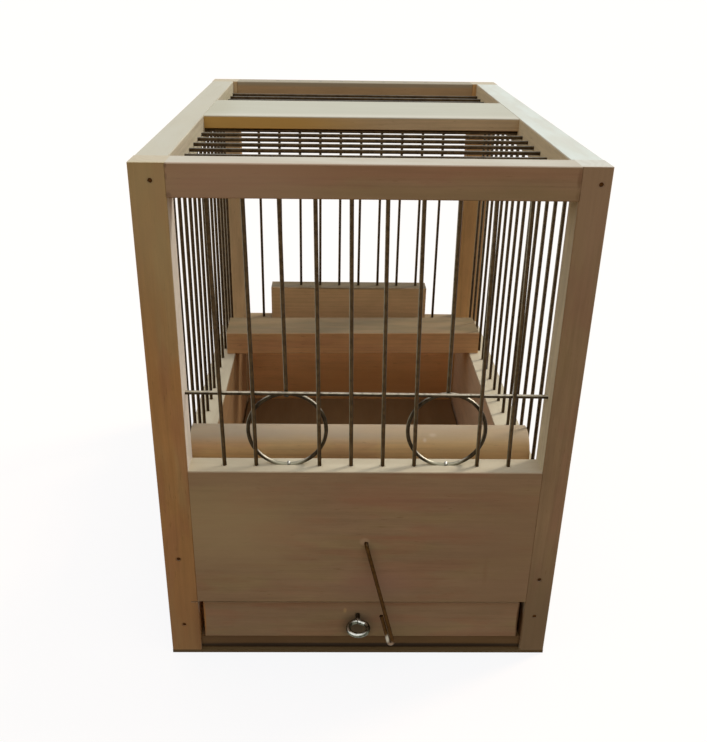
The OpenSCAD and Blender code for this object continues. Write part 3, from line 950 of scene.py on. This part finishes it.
@dataclass
class Grille(SubAssembly):
    """Bars, cross wire and feeding rings, with their solder and their drilled holes."""

    front_bars: int = 10
    # These two end at the cross wire, on the rings.
    short_bars: tuple[int, int] = (2, 7)
    pitch: float = 15.9
    middle_x: float = 1.92
    front_y: float = -134.35
    panel_top: float = 117.8
    side_bars: int = 15
    side_x: float = 95.5
    side_y: float = -98.75
    side_pitch: float = 16.5
    board_top: float = 85.3
    left_ring_x: float = -38.1
    right_ring_x: float = 41.4
    foot_y: float = -132.82
    cross_y: float = -132.33
    cross_z: float = 157.02
    # Where in the log the boards were cut that the raised wood belongs to.
    panel_cut: Point = Planking.panel_cut
    side_cut: Point = Planking.side_cut
    # Solder has tinned the rings' feet.
    tinned_drop: float = 0.5
    tinned_reach: Point = (15.0, 6.0, 5.5)
    # Beads of solder: where each sits from its joint, and its half sizes.
    top_bead_at: Point = (0.0, 0.55, -0.45)
    top_bead: Point = (1.7, 1.4, 1.15)
    foot_bead_at: Point = (0.6, 0.0, 0.3)
    foot_bead: Point = (1.0, 1.5, 1.3)
    # The wood that the drill raised: radius and height, from the wire outwards.
    rim_profile: tuple[Pair, ...] = (
        (1.03, -0.05), (1.03, 0.10), (1.22, 0.17), (1.45, 0.08), (1.7, -0.05)
    )
    rim_points: int = 24
    # The rim is torn beyond this radius, this far in and out, and by this share in height.
    torn_from: float = 1.1
    torn_out: float = 0.12
    torn_up: float = 0.7
    tear_size: float = 3.0

    def rings(self) -> tuple[tuple[str, float], tuple[str, float]]:
        """Returns the side and the place across of both rings."""
        return ("left", self.left_ring_x), ("right", self.right_ring_x)

    def dress(self) -> None:
        """Gives the wires their steel."""
        dress("front_cross_wire", BAR_STEEL.material())
        steel = GRILLE_STEEL.material()
        for bars in ("front", "left_side", "right_side", "back_fixed", "roof", "door"):
            dress(f"{bars}_wires", steel)
        for side, x in self.rings():
            foot = (x, self.foot_y, self.panel_top - self.tinned_drop)
            tinned = Mark(foot, self.tinned_reach, "#A39F88", 0.85)
            dress(f"{side}_feeding_ring", BAR_STEEL.material((tinned,)))

    def build(self) -> None:
        """Adds the solder on the rings and the wood that the drill raised at the wires."""
        for side, x in self.rings():
            top, foot = (x, self.cross_y, self.cross_z), (x, self.foot_y, self.panel_top)
            for name, joint, at, reach, solder in (
                ("ring", top, self.top_bead_at, self.top_bead, DULL_SOLDER),
                ("ring_foot", foot, self.foot_bead_at, self.foot_bead, SOLDER),
            ):
                bead = bmesh.new()
                lump(bead, tuple(a + b for a, b in zip(joint, at)), reach)
                new_piece(f"{side}_{name}_solder", bead, solder.material(), "cage")
        middle = (self.front_bars - 1) / 2
        front_feet = [
            ((number - middle) * self.pitch + self.middle_x, self.front_y, self.panel_top)
            for number in range(self.front_bars)
            if number not in self.short_bars
        ]
        self.rims("panel", front_feet, PLANK.material(Along.X, self.panel_cut))
        for side, x in (("left", -self.side_x), ("right", self.side_x)):
            feet = [
                (x, self.side_y + number * self.side_pitch, self.board_top)
                for number in range(self.side_bars)
            ]
            self.rims(f"{side}_board", feet, PLANK.material(Along.Y, self.side_cut))

    def rims(self, board: str, feet: list[Point], wood: Material) -> None:
        """Raises a thin torn rim of wood round the foot of each wire in a board.

        Args:
            board: What the board is called.
            feet: Where the wires enter it.
            wood: Its material.
        """
        work = bmesh.new()
        for x, y, z in feet:
            loops = []
            for radius, height in self.rim_profile:
                loop = []
                for step in range(self.rim_points):
                    turn = math.tau * step / self.rim_points
                    cos, sin = math.cos(turn), math.sin(turn)
                    shake = wobble(x + self.tear_size * cos, y + self.tear_size * sin, radius)
                    out = radius + (self.torn_out * shake if radius > self.torn_from else 0.0)
                    rise = height * (1.0 + self.torn_up * shake) if height > 0 else height
                    loop.append(work.verts.new((x + out * cos, y + out * sin, z + rise)))
                loops.append(loop)
            skin(work, loops + loops[:1])
        new_piece(f"{board}_drill_rims", work, wood, "cage")


@dataclass
class Fittings(SubAssembly):
    """Perches, back door foot, tray, latch and screw eye."""

    tray_face: Upright = Upright(-139.3, 4.0)
    # The tray's cheeks beside the posts.
    cheek: Upright = Upright(-133.0, 14.0)
    # The screw eye: the ring's middle, its radius and the wire's radius.
    eye_x: float = -1.0
    eye_y: float = -149.7
    eye_z: float = 25.6
    ring_radius: float = 5.25
    wire_radius: float = 1.3
    wire_sides: int = 24
    # Where the screw enters the wood and where its tip is.
    wood_y: float = -139.25
    tip_y: float = -129.0
    # The thread: steps, lead, depth, and the length over which it runs out.
    thread_steps: int = 210
    thread_lead: float = 1.35
    thread_depth: float = 0.16
    thread_runs_out: float = 3.0
    # The tip's size, and how fast it grows along the thread.
    tip_share: float = 0.25
    tip_growth: float = 3.0
    # The neck ends this far behind the ring.
    neck_steps: int = 8
    neck_short: float = 1.6
    # The ring: steps, first angle and turn in degrees, and how the neck swings into it.
    ring_steps: int = 96
    ring_from: float = 72
    ring_turn: float = 338
    swing_steps: int = 10
    swing_share: float = 0.35
    # The wire's end is nipped off a little thinner.
    nipped_steps: int = 5
    nipped_share: float = 0.1
    # Painted shade where the screw enters the wood: how far in its middle is, and its reach.
    neck_shade_in: float = 2.2
    neck_shade_reach: Point = (4.0, 3.6, 4.0)

    def dress(self) -> None:
        """Gives the fittings their wood and steel."""
        # Painted highlights on the hairpin at the latch's tip.
        tip_highlights = (
            Mark((14.8, -150.4, 19.4), (1.7, 5.0, 3.6), "#CFC7B2", 0.65, 0.3),
            Mark((16.7, -150.6, 16.3), (2.3, 5.0, 2.2), "#A08A74", 0.6, 0.3),
        )
        dress("latch_wire", LATCH_STEEL.material(tip_highlights))
        # The round perch: a light end, a brown smear and two pale specks.
        perch_marks = (
            Mark((70.0, -90.0, 94.0), (70.0, 30.0, 22.0), "#DCB47A", 0.7, 0.2),
            Mark((-62.0, -94.0, 92.0), (30.0, 30.0, 8.0), "#C4916A", 0.5, 0.1),
            Mark((40.5, -91.2, 110.4), (4.0, 4.0, 1.6), "#E6D3B4", 0.7, 0.2),
            Mark((36.0, -93.0, 108.2), (1.6, 4.0, 1.4), "#E6D3B4", 0.6, 0.2),
        )
        # Painted shade on the door foot's top, and painted light on its front.
        foot_top_shade = (Mark((-2.0, 149.0, 113.2), (90.0, 14.0, 2.0), "#6B5A3C", 0.9, 0.6),)
        foot_front_light = (Facing(TO_FRONT, "#CEB083"),)
        # The tray: painted shade under and round the eye, a nick beside it, a painted shadow of
        # the panel along its top, and painted shade on both cheeks in the gaps.
        patch = self.tray_face.patch
        tray_marks = (
            patch(-1.0, 17.5, 12.0, 13.0, "#4E4636", 0.85, 0.2),
            patch(-7.9, 28.6, 1.3, 2.4, "#BFA070", 0.7),
            patch(0.0, 35.0, 200.0, 5.0, "#8F6A4C", 0.5, 0.1),
            self.cheek.patch(-84.6, 24.0, 1.3, 18.0, "#B07C44", 0.9, 0.5),
            self.cheek.patch(87.0, 24.0, 1.3, 18.0, "#4E3418", 0.9, 0.5),
        )
        foot_cut = (450.0, 42.0, 0.0)
        for piece in (
            Timber("round_perch", PERCH, Along.X, (410.0, 30.0, 0.0), perch_marks),
            Timber("flat_perch", FLAT_PERCH, Along.X, (430.0, 36.0, 0.0)),
            Timber("door_foot", FLAT_PERCH, Along.X, foot_cut, foot_top_shade, foot_front_light),
            Timber("tray_front", PLANK, Along.X, (470.0, 52.0, 0.0), tray_marks),
            Timber("tray_sheet", SHEET, Along.Y, (490.0, 52.0, 0.0)),
        ):
            piece.dress()

    def screw(self) -> tuple[list[Vector], list[float]]:
        """Turns the thread and the plain neck.

        Returns:
            The points along their middle, and the radius at each.
        """
        path, radii = [], []
        for step in range(self.thread_steps + 1):
            y = self.tip_y + (self.wood_y - self.tip_y) * step / self.thread_steps
            depth = self.thread_depth * min(1.0, (y - self.wood_y) / self.thread_runs_out)
            ridge = depth * math.cos(math.tau * (self.tip_y - y) / self.thread_lead)
            grown = min(1.0, self.tip_share + step / self.thread_steps * self.tip_growth)
            path.append(Vector((self.eye_x, y, self.eye_z)))
            radii.append((self.wire_radius - self.thread_depth + ridge) * grown)
        neck_end = self.eye_y + self.ring_radius + self.neck_short
        for step in range(1, self.neck_steps + 1):
            y = self.wood_y + (neck_end - self.wood_y) * step / self.neck_steps
            path.append(Vector((self.eye_x, y, self.eye_z)))
            radii.append(self.wire_radius)
        return path, radii

    def ring(self) -> tuple[list[Vector], list[float]]:
        """Bends the ring, which the neck swings into and which closes but for a sliver.

        Returns:
            The points along its middle, and the radius at each.
        """
        path, radii = [], []
        for step in range(self.ring_steps + 1):
            turn = math.radians(self.ring_from - self.ring_turn * step / self.ring_steps)
            swung = min(1.0, step / self.swing_steps)
            wide = self.swing_share + (1.0 - self.swing_share) * swung
            x = self.eye_x + self.ring_radius * math.cos(turn) * wide
            y = self.eye_y + self.ring_radius * math.sin(turn)
            path.append(Vector((x, y, self.eye_z)))
            nipped = max(0, step - self.ring_steps + self.nipped_steps) / self.nipped_steps
            radii.append(self.wire_radius * (1.0 - self.nipped_share * nipped))
        return path, radii

    def build(self) -> None:
        """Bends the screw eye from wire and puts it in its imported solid's place."""
        (screw, screw_radii), (ring, ring_radii) = self.screw(), self.ring()
        work = bmesh.new()
        sweep(work, screw + ring, screw_radii + ring_radii, self.wire_sides)
        entry = (self.eye_x, self.wood_y - self.neck_shade_in, self.eye_z)
        # Painted shade on the screw's neck where it enters the wood.
        grime = Mark(entry, self.neck_shade_reach, "#33291A", 0.9)
        eye = new_piece("bent_screw_eye", work, ZINC.material((grime,)), "tray")
        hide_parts("screw_eye")


@dataclass
class Studio:
    """Plain pale floor, cool soft light overhead, a low key from the right, and the camera."""

    camera_at: Point = (-0.0171261, -0.4989902, 0.3445151)
    camera_turn: Point = (64.7685, -0.7349, -0.6903)
    sensor_mm: float = 36.0
    lens_mm: float = 41.0085
    shift: Pair = (0.013457, -0.005191)
    clip: Range = (0.01, 60.0)
    key_from: Point = (0.696, 0.370, 0.616)
    key_strength: float = 1.6
    key_angle: float = 13.0
    key_colour: Point = (1.0, 0.97, 0.93)
    # Light from overhead, and from low down on the dim and on the bright side.
    overhead: Point = (0.95, 1.12, 1.35)
    low_front: Point = (0.47, 0.35, 0.23)
    low_right: Point = (0.52, 0.50, 0.48)
    bright_side: Point = (0.88, 0.47, 0.0)
    # Where the sides and the heights of the sky pass from the one light to the other.
    sides_meet: Range = (-0.6, 0.7)
    heights_meet: Range = (0.40, 0.95)
    background: str = "#FFFFFF"
    # The floor: the paper itself, and the pale glow that only the camera and gloss see.
    floor_size: float = 20.0
    floor_below: float = 0.0002
    paper: str = "#7A6248"
    paper_roughness: float = 0.9
    glow_colour: Colour = (0.934, 0.967, 1.0, 1.0)
    glow: float = 0.91

    def build(self) -> None:
        """Makes the camera, the lights, the world and the floor."""
        self.add_camera()
        self.add_key()
        self.add_world()
        self.add_floor()

    def add_camera(self) -> None:
        """Puts the camera where the photograph was taken from."""
        data = bpy.data.cameras.new("camera")
        data.sensor_width = self.sensor_mm
        data.lens = self.lens_mm
        data.shift_x, data.shift_y = self.shift
        data.clip_start, data.clip_end = self.clip
        camera = bpy.data.objects.new("camera", data)
        camera.location = self.camera_at
        camera.rotation_euler = [math.radians(a) for a in self.camera_turn]
        bpy.context.scene.collection.objects.link(camera)
        bpy.context.scene.camera = camera

    def add_key(self) -> None:
        """Adds the soft light from the right and behind."""
        data = bpy.data.lights.new("key", "SUN")
        data.energy = self.key_strength
        data.angle = math.radians(self.key_angle)
        data.color = self.key_colour
        lamp = bpy.data.objects.new("key", data)
        lamp.rotation_mode = "QUATERNION"
        lamp.rotation_quaternion = Vector(self.key_from).to_track_quat("Z", "Y")
        bpy.context.scene.collection.objects.link(lamp)

    @staticmethod
    def seen(tree: NodeTree) -> NodeSocket:
        """Tells rays of the camera, of gloss and of glass from rays of light.

        Args:
            tree: The node tree.

        Returns:
            One for a ray that shows the background, otherwise zero.
        """
        total = add_node(tree, Kind.CAMERA_RAY)
        for kind in (Kind.GLOSSY_RAY, Kind.GLASS_RAY):
            total = add_node(tree, Kind.CLAMPED_SUM, total, add_node(tree, kind))
        return total

    def add_world(self) -> None:
        """Lights the object from above, and shows white where nothing stands."""
        world = bpy.data.worlds.new("studio")
        world.use_nodes = True
        tree = world.node_tree
        tree.nodes.clear()
        bpy.context.scene.world = world
        way = add_node(tree, Kind.SKY_DIRECTION)
        side = add_node(tree, Kind.DOT, way, self.bright_side)
        brighter = add_node(tree, Kind.EASE, side, *self.sides_meet, 0.0, 1.0)
        low = add_node(tree, Kind.MIX, brighter, (*self.low_front, 1.0), (*self.low_right, 1.0))
        height = add_node(tree, Kind.HEIGHT, way)
        higher = add_node(tree, Kind.EASE, height, *self.heights_meet, 0.0, 1.0)
        sky = add_node(tree, Kind.MIX, higher, low, (*self.overhead, 1.0))
        lit = add_node(tree, Kind.BACKGROUND, sky)
        white = add_node(tree, Kind.BACKGROUND, self.background)
        mixed = add_node(tree, Kind.MIX_SHADERS, self.seen(tree), lit, white)
        add_node(tree, Kind.WORLD_END, mixed)

    def add_floor(self) -> None:
        """Lays the pale floor, which keeps the cage's shadow."""
        mesh = bpy.data.meshes.new("floor")
        work = bmesh.new()
        bmesh.ops.create_grid(work, x_segments=1, y_segments=1, size=self.floor_size)
        work.to_mesh(mesh)
        work.free()
        floor = bpy.data.objects.new("floor", mesh)
        bpy.context.scene.collection.objects.link(floor)
        floor.location = (0.0, 0.0, -self.floor_below)
        # Paper: pressed fibre, dead matt, with no gloss of its own.
        material, tree = new_material("paper_floor")
        glow = add_node(tree, Kind.PRODUCT, self.seen(tree), self.glow)
        surface = add_node(
            tree, Kind.GLOWING, self.paper, self.paper_roughness, 0.0, self.glow_colour, glow
        )
        add_node(tree, Kind.MATERIAL_END, surface)
        mesh.materials.append(material)


def main() -> None:
    """Builds and dresses the cage."""
    scene = bpy.context.scene
    scene.view_settings.view_transform = "Standard"
    Studio().build()
    for part in (TimberFrame(), Planking(), Grille(), Fittings()):
        part.dress()
        part.build()


if __name__ == "__main__":
    main()
